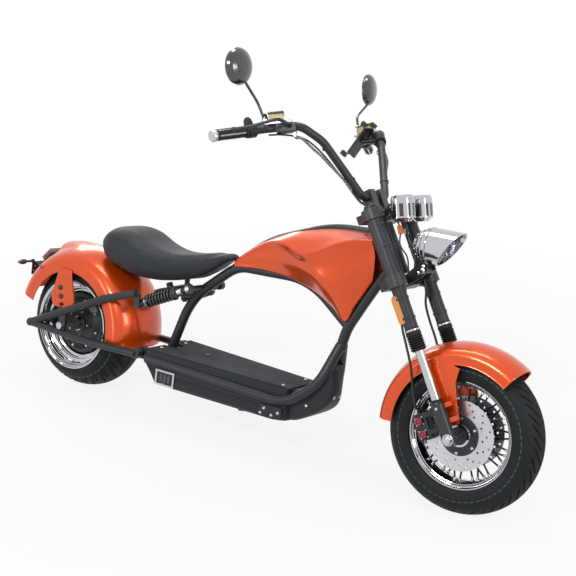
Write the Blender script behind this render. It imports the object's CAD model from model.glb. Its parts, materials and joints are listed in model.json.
import bpy, bmesh, json, math
import numpy as np
from mathutils import Matrix, Vector
from mathutils.bvhtree import BVHTree


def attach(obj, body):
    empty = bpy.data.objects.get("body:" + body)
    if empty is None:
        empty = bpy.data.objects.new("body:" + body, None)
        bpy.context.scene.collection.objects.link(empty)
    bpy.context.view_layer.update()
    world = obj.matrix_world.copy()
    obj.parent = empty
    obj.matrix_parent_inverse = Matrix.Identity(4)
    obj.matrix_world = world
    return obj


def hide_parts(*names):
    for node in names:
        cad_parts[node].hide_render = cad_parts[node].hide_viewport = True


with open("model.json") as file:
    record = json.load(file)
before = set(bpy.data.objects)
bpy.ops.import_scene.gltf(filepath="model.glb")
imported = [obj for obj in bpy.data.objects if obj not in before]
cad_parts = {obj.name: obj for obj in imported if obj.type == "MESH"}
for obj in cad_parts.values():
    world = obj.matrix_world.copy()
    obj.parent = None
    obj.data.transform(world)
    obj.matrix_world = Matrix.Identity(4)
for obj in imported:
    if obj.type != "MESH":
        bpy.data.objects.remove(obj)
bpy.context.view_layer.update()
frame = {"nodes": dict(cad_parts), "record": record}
NODES = frame["nodes"]


# Placement, the same formulas as the CAD source, in millimetres
def sind(a): return math.sin(math.radians(a))
def cosd(a): return math.cos(math.radians(a))
def rot(axis, deg): return Matrix.Rotation(math.radians(deg), 4, axis)
def move(x, y, z): return Matrix.Translation((x, y, z))


wheelbase, lean, steer, rake, fork_offset = 1571, 12.4, 3, 31, 35
rear_r, rear_crown, front_r, front_crown = 238, 110, 246.5, 66
mid_x, mid_y = 759.96, 218.28
turn_z = -cosd(steer) * sind(lean) - sind(rake) * sind(steer) * cosd(lean)
rear_drop = (rear_r - rear_crown) * cosd(lean) + rear_crown
front_drop = (front_r - front_crown) * math.sqrt(1 - turn_z ** 2) + front_crown
front_back = fork_offset * (1 - cosd(steer))
axle_rise = (front_drop - rear_drop + fork_offset * sind(steer) * sind(lean)) / cosd(lean)
front_cz = front_r - front_back * sind(rake)
pitch = math.degrees(math.asin((front_cz - rear_r - axle_rise) / wheelbase))
floor_z = rear_drop - rear_r * cosd(lean) * cosd(pitch)

PARK = Matrix.Scale(0.001, 4) @ move(-mid_x, -mid_y, floor_z) @ rot("X", -lean) @ rot("Y", pitch)
FORK = (PARK @ move(wheelbase, 0, front_r) @ rot("Y", -rake) @ move(-fork_offset, 0, 0)
        @ rot("Z", steer) @ move(fork_offset, 0, 0))
REAR = PARK @ move(0, 0, rear_r)
UPRIGHT = Matrix.Identity(4)


def level(x, y, z, tilt=0):
    """Fork frame place whose axes are level again"""
    return move(x, y, z) @ rot("Y", rake + tilt)


def aim(p, d, ref=(0, 0, 1)):
    """Matrix at p with Z along d"""
    z = Vector(d).normalized()
    r = Vector(ref)
    if abs(z.dot(r)) > 0.95:
        r = Vector((1, 0, 0))
    x = r.cross(z).normalized()
    y = z.cross(x)
    m = Matrix((x, y, z)).transposed().to_4x4()
    return Matrix.Translation(p) @ m


def outward(x, y, z):
    """Place facing the rider's left, for bolt heads"""
    return move(x, y, z) @ rot("X", -90)


MIRROR = Matrix.Diagonal((1, -1, 1, 1))


# Mesh makers: each gives (points, faces) in millimetres
def lathe(prof, n=64, axis="Z", a0=0.0, a1=360.0, loop=True):
    """Turns (radius, along) points about an axis"""
    full = abs(a1 - a0 - 360) < 1e-6
    rows = n if full else n + 1
    v, f = [], []
    for k in range(rows):
        a = math.radians(a0 + (a1 - a0) * k / n)
        c, s = math.cos(a), math.sin(a)
        for r, h in prof:
            v.append((r * c, r * s, h) if axis == "Z" else (r * c, h, r * s) if axis == "Y"
                     else (h, r * c, r * s))
    m = len(prof)
    for k in range(n):
        k2 = (k + 1) % rows
        for j in range(m if loop else m - 1):
            j2 = (j + 1) % m
            f.append((k * m + j, k * m + j2, k2 * m + j2, k2 * m + j))
    if not full and loop:
        f.append(tuple(range(m)))
        f.append(tuple((rows - 1) * m + j for j in range(m)))
    return v, f


def rod(r, h0, h1, n=24, cham=0.0):
    """Solid cylinder along Z with small chamfers"""
    c = cham
    if c:
        p = [(0, h0), (r - c, h0), (r, h0 + c), (r, h1 - c), (r - c, h1), (0, h1)]
    else:
        p = [(0, h0), (r, h0), (r, h1), (0, h1)]
    return lathe(p, n, "Z", loop=False)


def tube(path, r, n=12, closed=False, caps=True, flat=1.0):
    """Round tube along points, with a radius or one a point"""
    p = [Vector(q) for q in path]
    m = len(p)
    rad = list(r) if hasattr(r, "__len__") else [r] * m
    t = []
    for i in range(m):
        a = p[(i - 1) % m] if closed else p[max(i - 1, 0)]
        b = p[(i + 1) % m] if closed else p[min(i + 1, m - 1)]
        t.append((b - a).normalized())
    u = t[0].orthogonal().normalized()
    v, f = [], []
    for i in range(m):
        u = (u - t[i] * u.dot(t[i])).normalized()
        w = t[i].cross(u)
        for k in range(n):
            a = 2 * math.pi * k / n
            v.append(p[i] + u * (rad[i] * math.cos(a)) + w * (rad[i] * flat * math.sin(a)))
    for i in range(m if closed else m - 1):
        i2 = (i + 1) % m
        for k in range(n):
            k2 = (k + 1) % n
            f.append((i * n + k, i * n + k2, i2 * n + k2, i2 * n + k))
    if caps and not closed:
        f.append(tuple(range(n)))
        f.append(tuple((m - 1) * n + k for k in range(n)))
    return v, f


def smooth(points, steps=6, closed=False):
    """Catmull-Rom curve through the points"""
    p = [Vector(q) for q in points]
    n = len(p)
    out = []
    for i in range(n if closed else n - 1):
        a, b = (p[(i - 1) % n], p[i]) if closed else (p[max(i - 1, 0)], p[i])
        c, d = (p[(i + 1) % n], p[(i + 2) % n]) if closed else (p[i + 1], p[min(i + 2, n - 1)])
        for k in range(steps):
            t = k / steps
            out.append(0.5 * (2 * b + (c - a) * t + (2 * a - 5 * b + 4 * c - d) * t * t
                              + (3 * b - a - 3 * c + d) * t ** 3))
    if not closed:
        out.append(p[-1])
    return out


def prism(poly, y0, y1):
    """Side-view outline (x, z) between two y"""
    n = len(poly)
    v = [(x, y0, z) for x, z in poly] + [(x, y1, z) for x, z in poly]
    f = [tuple(range(n)), tuple(range(n, 2 * n))]
    f += [(i, (i + 1) % n, n + (i + 1) % n, n + i) for i in range(n)]
    return v, f


def block(lo, hi):
    (a, b, c), (d, e, g) = lo, hi
    v = [(x, y, z) for x in (a, d) for y in (b, e) for z in (c, g)]
    return v, [(0, 1, 3, 2), (4, 5, 7, 6), (0, 1, 5, 4), (2, 3, 7, 6), (0, 2, 6, 4), (1, 3, 7, 5)]


def grid(rows, closed_u=False, closed_v=False):
    """Surface through equal rows of points"""
    m, n = len(rows), len(rows[0])
    v = [p for r in rows for p in r]
    f = []
    for i in range(m if closed_u else m - 1):
        for j in range(n if closed_v else n - 1):
            i2, j2 = (i + 1) % m, (j + 1) % n
            f.append((i * n + j, i * n + j2, i2 * n + j2, i2 * n + j))
    return v, f


def loft(rows):
    """Closed solid through equal rings of points"""
    v, f = grid(rows, False, True)
    n = len(rows[0])
    return v, f + [tuple(range(n)), tuple((len(rows) - 1) * n + j for j in range(n))]


def hexhead(r, h):
    """Hexagon bolt head with a washer face, standing on z = 0"""
    face, low, high = r * 1.12, h * 0.18, h * 0.85
    washer = lathe([(0, 0), (face, 0), (face, low), (0, low)], 24, loop=False)
    head = lathe([(0, low), (r, low), (r, high), (r * 0.86, h), (0, h)], 6, loop=False)
    return joined(washer, head)


def capscrew(r, h):
    """Socket head screw standing on z = 0"""
    s = r * 0.55
    return lathe([(0, 0), (r, 0), (r, h * 0.85), (r * 0.9, h), (s, h), (s, h * 0.45), (0, h * 0.45)], 18,
                 loop=False)


def joined(*parts):
    v, f = [], []
    for a, b in parts:
        k = len(v)
        v += list(a)
        f += [tuple(i + k for i in q) for q in b]
    return v, f


def placed(m, part):
    return [m @ Vector(p) for p in part[0]], part[1]


class Piece:
    """Gathers mesh parts in one space and becomes one object that rides on a body"""

    def __init__(self, name, body, space=PARK, slot=None, replaces=()):
        self.name, self.body, self.space, self.slot, self.rep = name, body, space, slot, replaces
        self.bm = bmesh.new()
        self.mats = []

    def add(self, part, mat, at=None, both=False):
        if mat not in self.mats:
            self.mats.append(mat)
        k = self.mats.index(mat)
        for mir in ((UPRIGHT, MIRROR) if both else (UPRIGHT,)):
            m = self.space @ mir @ (at or UPRIGHT)
            vs = [self.bm.verts.new(m @ Vector(p)) for p in part[0]]
            for q in part[1]:
                try:
                    face = self.bm.faces.new([vs[i] for i in q])
                    face.material_index = k
                except ValueError:
                    pass

    def pair(self, part, mat, at=None):
        """The part and its mirror image on the other side"""
        self.add(part, mat, at, True)

    def done(self, sharp=35, bevel=0.0, segs=2, sub=0, merge=0.02, angle=35):
        bm = self.bm
        bmesh.ops.remove_doubles(bm, verts=bm.verts, dist=merge / 1000)
        bmesh.ops.dissolve_degenerate(bm, edges=bm.edges, dist=1e-6)
        bmesh.ops.recalc_face_normals(bm, faces=bm.faces)
        me = bpy.data.meshes.new(self.name)
        bm.to_mesh(me)
        bm.free()
        for m in self.mats:
            me.materials.append(m)
        me.polygons.foreach_set("use_smooth", [True] * len(me.polygons))
        me.set_sharp_from_angle(angle=math.radians(sharp))
        ob = bpy.data.objects.new(self.name, me)
        bpy.context.scene.collection.objects.link(ob)
        if bevel:
            b = ob.modifiers.new("edges", "BEVEL")
            b.width, b.segments, b.limit_method = bevel / 1000, segs, "ANGLE"
            b.angle_limit = math.radians(angle)
            b.harden_normals = False
        if sub:
            s = ob.modifiers.new("smooth", "SUBSURF")
            s.levels = s.render_levels = sub
        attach(ob, self.body)
        if self.rep:
            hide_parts(*self.rep)
        return ob


# Materials
def material(name, color, rough=0.5, metal=0.0, coat=0.0, coat_rough=0.03, spec=0.5,
             tone=None, tone_scale=4.0, tone_amount=0.5, grain=0.0, grain_scale=900.0, rough_vary=0.06,
             wave=0.0, transmission=0.0, ior=1.5, wear=0.0):
    """Procedural surface: two tones, worn edges, varied roughness and a fine bump"""
    m = bpy.data.materials.new(name)
    m.use_nodes = True
    nt = m.node_tree
    N, L = nt.nodes, nt.links
    b = N["Principled BSDF"]
    b.inputs["Metallic"].default_value = metal
    b.inputs["Coat Weight"].default_value = coat
    b.inputs["Coat Roughness"].default_value = coat_rough
    b.inputs["Specular IOR Level"].default_value = spec
    b.inputs["Transmission Weight"].default_value = transmission
    b.inputs["IOR"].default_value = ior
    tc = N.new("ShaderNodeTexCoord")
    mp = N.new("ShaderNodeMapping")
    L.new(tc.outputs["Object"], mp.inputs["Vector"])
    n1 = N.new("ShaderNodeTexNoise")
    n1.inputs["Scale"].default_value = tone_scale
    n1.inputs["Detail"].default_value = 4
    L.new(mp.outputs["Vector"], n1.inputs["Vector"])
    mix = N.new("ShaderNodeMix")
    mix.data_type = "RGBA"
    tone = tone or tuple(c * 0.8 for c in color)
    mix.inputs[6].default_value = (*color, 1)
    mix.inputs[7].default_value = (*tone, 1)
    ramp = N.new("ShaderNodeMapRange")
    ramp.inputs["From Min"].default_value, ramp.inputs["From Max"].default_value = 0.35, 0.7
    ramp.inputs["To Min"].default_value, ramp.inputs["To Max"].default_value = 0.0, tone_amount
    L.new(n1.outputs["Fac"], ramp.inputs["Value"])
    L.new(ramp.outputs["Result"], mix.inputs[0])
    out = mix.outputs[2]
    if wear:
        geo = N.new("ShaderNodeNewGeometry")
        wr = N.new("ShaderNodeMapRange")
        wr.inputs["From Min"].default_value, wr.inputs["From Max"].default_value = 0.52, 0.62
        wr.inputs["To Max"].default_value = wear
        L.new(geo.outputs["Pointiness"], wr.inputs["Value"])
        m2 = N.new("ShaderNodeMix")
        m2.data_type = "RGBA"
        m2.inputs[7].default_value = (*[min(1, c * 1.8 + 0.05) for c in color], 1)
        L.new(wr.outputs["Result"], m2.inputs[0])
        L.new(out, m2.inputs[6])
        out = m2.outputs[2]
    L.new(out, b.inputs["Base Color"])
    rr = N.new("ShaderNodeMapRange")
    rr.inputs["To Min"].default_value = max(0.0, rough - rough_vary)
    rr.inputs["To Max"].default_value = min(1.0, rough + rough_vary)
    L.new(n1.outputs["Fac"], rr.inputs["Value"])
    L.new(rr.outputs["Result"], b.inputs["Roughness"])
    if grain:
        n2 = N.new("ShaderNodeTexVoronoi" if wave else "ShaderNodeTexNoise")
        n2.inputs["Scale"].default_value = grain_scale
        L.new(mp.outputs["Vector"], n2.inputs["Vector"])
        bump = N.new("ShaderNodeBump")
        bump.inputs["Strength"].default_value = grain
        bump.inputs["Distance"].default_value = 0.0006
        L.new(n2.outputs["Distance" if wave else "Fac"], bump.inputs["Height"])
        L.new(bump.outputs["Normal"], b.inputs["Normal"])
    return m


PAINT = material("paint_orange", (0.70, 0.072, 0.001), 0.26, 0.5, coat=0.5, tone=(0.5, 0.042, 0.001),
                 tone_scale=3, tone_amount=0.3, grain=0.025, grain_scale=2600, rough_vary=0.04)
FRAME = material("frame_satin", (0.011, 0.014, 0.019), 0.4, 0.0, spec=0.4,
                 tone=(0.008, 0.010, 0.013), grain=0.06, grain_scale=1400, wear=0.25)
SATIN = material("metal_black", (0.008, 0.0085, 0.010), 0.36, 0.0, spec=0.42,
                 grain=0.08, grain_scale=1200, wear=0.35)
DECK = material("deck_moulding", (0.015, 0.017, 0.020), 0.5, grain=0.35, grain_scale=1500, spec=0.25,
                tone=(0.011, 0.012, 0.014), wear=0.2)
MAT_R = material("deck_rubber", (0.045, 0.049, 0.056), 0.75, grain=0.5, grain_scale=1100, spec=0.15,
                 tone=(0.034, 0.037, 0.042), tone_scale=9, tone_amount=0.6)
BATT = material("battery_case", (0.02, 0.03, 0.055), 0.5, grain=0.2)
HIDE = material("seat_vinyl", (0.016, 0.019, 0.025), 0.5, grain=0.55, grain_scale=620, wave=1.0, spec=0.3,
                tone=(0.012, 0.014, 0.018), tone_scale=7, tone_amount=0.6, rough_vary=0.05)
PIPING = material("seat_piping", (0.018, 0.02, 0.025), 0.42, grain=0.2, grain_scale=900)
THREAD = material("seat_thread", (0.05, 0.055, 0.062), 0.7, grain=0.3, grain_scale=2500)
CHROME = material("chrome", (0.55, 0.56, 0.58), 0.07, 1.0, tone=(0.46, 0.47, 0.5), tone_scale=12,
                  tone_amount=0.35, rough_vary=0.03)
CHROME_D = material("chrome_dark", (0.32, 0.34, 0.38), 0.16, 1.0, tone_amount=0.4)
SPRING = material("spring_black", (0.018, 0.019, 0.023), 0.22, 0.3, coat=0.6, grain=0.04)
STEEL = material("bolt_steel", (0.55, 0.56, 0.58), 0.26, 1.0, tone=(0.4, 0.41, 0.44), tone_scale=60,
                 tone_amount=0.6, grain=0.08, grain_scale=1800)
DISC = material("disc_steel", (0.6, 0.61, 0.64), 0.28, 1.0, tone=(0.46, 0.47, 0.5), tone_scale=16,
                tone_amount=0.6, grain=0.12, grain_scale=700)
BOOT = material("boot_rubber", (0.007, 0.007, 0.008), 0.55, spec=0.25, grain=0.2, grain_scale=900)
GRIP = material("grip_rubber", (0.011, 0.012, 0.014), 0.6, spec=0.25, grain=0.3, grain_scale=1400)
PLAST = material("plastic_black", (0.008, 0.008, 0.010), 0.42, spec=0.3, grain=0.22, grain_scale=1300,
                 wear=0.2)
TANKP = material("reservoir_clear", (0.62, 0.52, 0.16), 0.16, coat=0.6, transmission=0.35, ior=1.45,
                 tone=(0.7, 0.66, 0.4), tone_scale=30, tone_amount=0.8)
SHELL = material("mirror_shell", (0.012, 0.014, 0.018), 0.14, coat=1.0, spec=0.6, grain=0.02)
GLASSM = material("mirror_face", (0.8, 0.82, 0.85), 0.02, 1.0, rough_vary=0.01, tone_amount=0.2)
DIAL = material("gauge_glass", (0.01, 0.012, 0.012), 0.06, coat=1.0, rough_vary=0.02)
MARK = material("dial_marks", (0.75, 0.78, 0.8), 0.5, tone_amount=0.2)
LENS = material("lens_clear", (0.93, 0.94, 0.99), 0.03, transmission=1.0, ior=1.3, rough_vary=0.01,
                tone=(0.86, 0.88, 0.98), tone_amount=0.5)
BULB = material("lamp_inner", (0.8, 0.8, 0.95), 0.2, coat=0.5, tone=(0.55, 0.56, 0.8), tone_scale=30)
RED = material("lens_red", (0.16, 0.008, 0.008), 0.2, coat=1.0, tone=(0.09, 0.005, 0.005), tone_scale=20)
RING = material("ring_red", (0.55, 0.03, 0.05), 0.3, coat=0.4, tone_scale=60)
AMBER = material("lens_amber", (0.66, 0.24, 0.02), 0.2, coat=1.0, tone=(0.5, 0.14, 0.01), tone_scale=40,
                 grain=0.3, grain_scale=900, wave=1.0)
TYRE = material("tyre_rubber", (0.010, 0.011, 0.013), 0.6, grain=0.18, grain_scale=700, spec=0.2,
                tone=(0.007, 0.008, 0.009), tone_scale=10, rough_vary=0.08)
GREEN = material("tyre_mould_line", (0.02, 0.075, 0.06), 0.6, grain=0.1)
WIRE = material("wire_black", (0.012, 0.012, 0.014), 0.4, grain=0.1)
CLOTHW = material("braid_white", (0.55, 0.56, 0.58), 0.5, grain=0.2, grain_scale=2000)
PLUG = material("plug_orange", (0.75, 0.16, 0.02), 0.4, grain=0.1)

BY_SLOT = {"orange_paint": PAINT, "frame_black": FRAME, "black_metal": SATIN, "deck_plastic": DECK,
           "mat_rubber": MAT_R, "battery_case": BATT, "seat_leather": HIDE, "chrome": CHROME,
           "spring_black": SPRING, "steel": STEEL, "disc_steel": DISC, "boot_rubber": BOOT,
           "grip_rubber": GRIP, "black_plastic": PLAST, "reservoir_plastic": TANKP,
           "mirror_shell": SHELL, "mirror_face": GLASSM, "gauge_glass": DIAL, "lens_clear": LENS,
           "lens_red": RED, "lens_amber": AMBER, "tyre": TYRE}
for row in frame["record"]["subparts"]:
    me = NODES[row["node"]].data
    me.materials.clear()
    me.materials.append(BY_SLOT[row["material_slot"]])

# Camera at the photograph's angle
cam_data = bpy.data.cameras.new("camera")
cam_data.sensor_width, cam_data.lens = 36.0, 72.66
cam = bpy.data.objects.new("camera", cam_data)
fwd = Vector((-0.548306, 0.760365, -0.348148))
right = Vector((0.811214, 0.584749, -0.000491))
up = right.cross(fwd)
cam.matrix_world = Matrix.Translation((2.20929, -3.01755, 1.87093)) @ Matrix((right, up,
                                                                              -fwd)).transposed().to_4x4()
cam_data.clip_end = 60
bpy.context.scene.collection.objects.link(cam)
bpy.context.scene.camera = cam


# Floor, world and lamps
def stage_material(name, color):
    m = bpy.data.materials.new(name)
    m.use_nodes = True
    b = m.node_tree.nodes["Principled BSDF"]
    b.inputs["Base Color"].default_value = (*color, 1)
    b.inputs["Roughness"].default_value = 0.9
    return m


def seen_directly(tree):
    """1 for the rays that see the background: camera, glossy and transmission rays."""
    path = tree.nodes.new("ShaderNodeLightPath")
    out = path.outputs["Is Camera Ray"]
    for ray in ("Is Glossy Ray", "Is Transmission Ray"):
        either = tree.nodes.new("ShaderNodeMath")
        either.operation = "MAXIMUM"
        tree.links.new(out, either.inputs[0])
        tree.links.new(path.outputs[ray], either.inputs[1])
        out = either.outputs[0]
    return out


fm = stage_material("floor_white", (0.6, 0.6, 0.61))
nt = fm.node_tree
emit = nt.nodes.new("ShaderNodeEmission")
emit.inputs["Color"].default_value = (1, 1, 1, 1)
emit.inputs["Strength"].default_value = 1.0
mixs = nt.nodes.new("ShaderNodeMixShader")
geo = nt.nodes.new("ShaderNodeNewGeometry")
dist = nt.nodes.new("ShaderNodeVectorMath")
dist.operation = "LENGTH"
far = nt.nodes.new("ShaderNodeMapRange")
far.inputs["From Min"].default_value, far.inputs["From Max"].default_value = 0.6, 2.4
far.inputs["To Min"].default_value, far.inputs["To Max"].default_value = 0.86, 1.0
muln = nt.nodes.new("ShaderNodeMath")
muln.operation = "MULTIPLY"
nt.links.new(geo.outputs["Position"], dist.inputs[0])
nt.links.new(dist.outputs["Value"], far.inputs["Value"])
nt.links.new(seen_directly(nt), muln.inputs[0])
nt.links.new(far.outputs["Result"], muln.inputs[1])
nt.links.new(muln.outputs[0], mixs.inputs[0])
nt.links.new(nt.nodes["Principled BSDF"].outputs[0], mixs.inputs[1])
nt.links.new(emit.outputs[0], mixs.inputs[2])
nt.links.new(mixs.outputs[0], nt.nodes["Material Output"].inputs["Surface"])
bpy.ops.mesh.primitive_plane_add(size=30, location=(0, 0, -0.0005))
floor = bpy.context.object
floor.name = "floor"
floor.data.materials.append(fm)

world = bpy.data.worlds.new("world")
bpy.context.scene.world = world
world.use_nodes = True
wn, wl = world.node_tree.nodes, world.node_tree.links
bg = wn["Background"]
bg.inputs["Color"].default_value = (0.9, 0.94, 1.0, 1)
bg.inputs["Strength"].default_value = 0.34
bg2 = wn.new("ShaderNodeBackground")
bg2.inputs["Color"].default_value = (1, 1, 1, 1)
bg2.inputs["Strength"].default_value = 1.0
wm = wn.new("ShaderNodeMixShader")
wl.new(seen_directly(world.node_tree), wm.inputs[0])
wl.new(bg.outputs[0], wm.inputs[1])
wl.new(bg2.outputs[0], wm.inputs[2])
wl.new(wm.outputs[0], wn["World Output"].inputs["Surface"])


def area(name, at, to, size, power, size_y=None, color=(1, 1, 1)):
    d = bpy.data.lights.new(name, "AREA")
    d.shape = "RECTANGLE"
    d.size, d.size_y, d.energy, d.color = size, size_y or size, power, color
    o = bpy.data.objects.new(name, d)
    z = (Vector(at) - Vector(to)).normalized()
    x = Vector((0, 0, 1)).cross(z).normalized()
    o.matrix_world = Matrix.Translation(at) @ Matrix((x, z.cross(x), z)).transposed().to_4x4()
    bpy.context.scene.collection.objects.link(o)


area("key", (0.4, -2.6, 2.6), (0, 0, 0.5), 1.3, 52, 0.6)
area("top", (-0.2, 0.3, 3.2), (0, 0, 0.4), 2.2, 44, 0.8)
area("front", (3.0, -0.6, 1.6), (0.2, 0, 0.6), 0.5, 24, 1.5)
area("back", (-2.6, 1.8, 1.8), (0, 0, 0.6), 1.2, 16, 0.8)
area("strip", (-1.6, -2.8, 1.1), (-0.2, 0, 0.5), 0.22, 14, 1.8)

bpy.context.scene.view_settings.view_transform = "Standard"

ACROSS = rot("X", 90)
bead_r, flange_r = 152.4, 166.0


def unit(v): return Vector(v).normalized()


def axes(p, x, y, z):
    return Matrix.Translation(p) @ Matrix((Vector(x), Vector(y), Vector(z))).transposed().to_4x4()


# Tyres with cut tread
def tyre(name, body, space, node, r, w, crown, side, half, n_theta, pattern, slot="tyre"):
    """Section from the crown circle and two sidewall circles, turned and cut by the pattern's depth"""
    c0 = bead_r + 46

    def reach(phi):
        d = (math.cos(phi), math.sin(phi))
        t = []
        for cx, cy, rad in ((r - crown, 0, crown), (c0, side - w / 2, side), (c0, w / 2 - side, side)):
            ox, oy = c0 - cx, -cy
            bq = ox * d[0] + oy * d[1]
            t.append(-bq + math.sqrt(max(bq * bq - (ox * ox + oy * oy - rad * rad), 0)))
        tm = sum(v ** -14 for v in t) ** (-1 / 14)
        return c0 + tm * d[0], tm * d[1]
    phis = np.radians(np.linspace(0, 170, 1200))
    end = next(p for p in phis if reach(p)[0] < flange_r + 0.4)
    half_pts = [reach(p) for p in np.linspace(0, end, 46)]
    s = [0.0]
    for i in range(1, len(half_pts)):
        s.append(s[-1] + math.dist(half_pts[i], half_pts[i - 1]))
    prof = [(a, -b, -q) for (a, b), q in list(zip(half_pts, s))[::-1]] + [(a, b, q) for (a, b),
                                                                          q in list(zip(half_pts, s))[1:]]
    total = s[-1]
    inner = [(flange_r - 1, half - 14), (bead_r + 1, half - 15), (bead_r + 1, 15 - half),
             (flange_r - 1, 14 - half)]
    rows = []
    for k in range(n_theta):
        th = 2 * math.pi * k / n_theta
        ct, st = math.cos(th), math.sin(th)
        ring = []
        for rho, y, q in prof:
            d = pattern(th, q, r)
            cx, cy = rho - c0, y
            ln = math.hypot(cx, cy) or 1
            ring.append(((rho - d * cx / ln) * ct, y - d * cy / ln, (rho - d * cx / ln) * st))
        for rho, y in inner:
            ring.append((rho * ct, y, rho * st))
        rows.append(ring)
    p = Piece(name, body, space, slot, (node,))
    v, f = grid(rows, True, True)
    m = len(rows[0])
    marked = [i for i, q in enumerate(prof) if abs(abs(q[2]) - total * 0.72) < total / 45 * 0.5]
    thin, base = [], []
    for q in f:
        (thin if (q[0] % m) in marked and (q[0] // m) % 9 < 6 else base).append(q)
    p.add((v, base), TYRE)
    if thin:
        p.add((v, thin), GREEN)
    return p.done(sharp=50, merge=0.05)


def groove(d, width, depth):
    """Depth at a distance from a groove's middle, with soft edges"""
    x = max(0.0, min(1.0, (width / 2 + 1.2 - d) / 1.6))
    return depth * x * x * (3 - 2 * x)


def front_tread(th, q, r):
    a, sgn = abs(q), (1 if q > 0 else -1)
    d = 0.0
    if a < 52:
        for ph, k, lo, hi in ((0.0, 0.0052, 9, 47), (0.5, 0.0046, 16, 52)):
            n = 22
            u = ((th + (0.25 if sgn > 0
                        else 0)*2*math.pi/n - k * a * 1.1 - (a/60) ** 2 * 0.05) / (2 * math.pi / n)
                        + ph) % 1.0
            dd = abs(u - 0.5) * 2 * math.pi / n * r
            taper = max(0.0, min(1.0, (a - lo) / 6, (hi - a) / 8))
            if taper > 0:
                d = max(d, groove(dd, 5.5 * taper, 4.2))
        d = max(d, groove(abs(a - 6.0), 2.6, 3.4))
    if 74 < a < 75.5 or 92 < a < 93.5:
        d -= 0.5
    return d


def rear_tread(th, q, r):
    a, sgn = abs(q), (1 if q > 0 else -1)
    d = 0.0
    if a < 98:
        n = 26
        for ph, k, lo, hi, w in ((0.0, 0.0030, 14, 86, 6.0), (0.5, 0.0024, 44, 96, 5.0)):
            u = ((th + (0.5 if sgn > 0
                        else 0)*2*math.pi/n - k * a - (a/100) ** 2 * 0.06) / (2 * math.pi / n) + ph) % 1.0
            dd = abs(u - 0.5) * 2 * math.pi / n * r
            taper = max(0.0, min(1.0, (a - lo) / 8, (hi - a) / 12))
            if taper > 0:
                d = max(d, groove(dd, w * taper, 4.5))
        d = max(d, groove(abs(a - 8.0), 3.0, 3.6))
    if 112 < a < 114 or 130 < a < 132:
        d -= 0.5
    return d


tyre("front_tyre_tread", "front_wheel", FORK, "front_tyre", front_r, 124, front_crown, 78, 45, 560, front_tread)
tyre("rear_tyre_tread", "rear_wheel", REAR, "rear_tyre", rear_r, 213, rear_crown, 135, 103, 540, rear_tread)

# Rims, polished and stepped
p = Piece("front_rim_polished", "front_wheel", FORK, "chrome", ("front_rim",))
h = [(161.5, 45), (164.5, 45.6), (166, 44), (166, 41.5), (160, 38.5), (154.5, 36), (152.4, 33)]
i_ = [(160.5, 43.2), (158, 40.2), (156, 39.6), (153.6, 37.5), (152.2, 34.4), (150.2, 33.4), (148.4, 30),
      (147.4, 24),
      (146.2, 22), (145.2, 12), (143.5, 8), (143, 0)]
outer = h + [(a, -b) for a, b in h[::-1]]
inner = [(a, -b) for a, b in i_] + [(a, b) for a, b in i_[:-1][::-1]]
p.add(lathe(outer + inner, 180, "Y"), CHROME)
p.add(lathe([(157.2, 0), (158.4, 0.8), (157.2, 1.6), (156.4, 0.8)], 160, "Y"), CHROME_D,
      Matrix.Translation((0, -40, 0)))
p.done(sharp=28)
p = Piece("rear_rim_polished", "rear_wheel", REAR, "chrome", ("rear_rim",))
hh = [(161.5, 103), (164.5, 103.4), (166, 102), (166, 99.5), (160, 96), (154.5, 93), (152.4, 90)]
back = [(152.4, 90), (160, 96), (166, 99.5), (166, 102), (164.5, 103.4), (161.5, 103), (158, 97),
        (152, 92), (147, 88)]
front = [(161.5, -103), (159.5, -99.5), (157, -98.4), (155, -95), (152.5, -93.4), (150.5, -88),
         (148.6, -86.6), (147.6, -76),
         (145.8, -74.6), (144.8, -69), (137, -66.8), (134.6, -65.6), (133.2, -62), (130.8, -60.6),
         (129.6, -53.5),
         (122, -50.6), (119.4, -48.8), (117.6, -44), (116.4, -34), (112.6, -28.6), (112.2, -21),
         (128, -20.5), (146, -40),
         (146.2, 80)]
p.add(lathe([(a, -b) for a, b in hh] + back + [(146.2, 80)] + front[::-1][1:], 180, "Y"), CHROME)
p.add(joined(*[placed(rot("Y", k * 30) @ move(140, -67.9, 0) @ rot("X", 90), capscrew(3.2, 2.4))
               for k in range(12)]), STEEL)
p.done(sharp=28)

# Hub motor's bolts, cap and cable
p = Piece("hub_motor_bolts", "rear_wheel", REAR, "steel")
for k in range(8):
    p.add(hexhead(4.6, 4), STEEL, rot("Y", k * 45 + 12) @ move(90, -61.2, 0) @ rot("X", 90))
for k in range(5):
    p.add(capscrew(4.2, 4), STEEL, rot("Y", k * 72) @ move(46, -63.8, 0) @ rot("X", 90))
p.add(lathe([(24.3, -66), (34, -66), (34, -64), (24.3, -64)], 64, "Y"), SATIN)
p.add(lathe([(24.2, -72), (27, -72), (27, -66.2), (24.2, -66.2)], 64, "Y"), CHROME)
p.add(lathe([(98, -50.5), (106, -50.5), (106, -52.2), (98, -52.2)], 96, "Y"), SATIN)
p.done(sharp=30)

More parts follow.
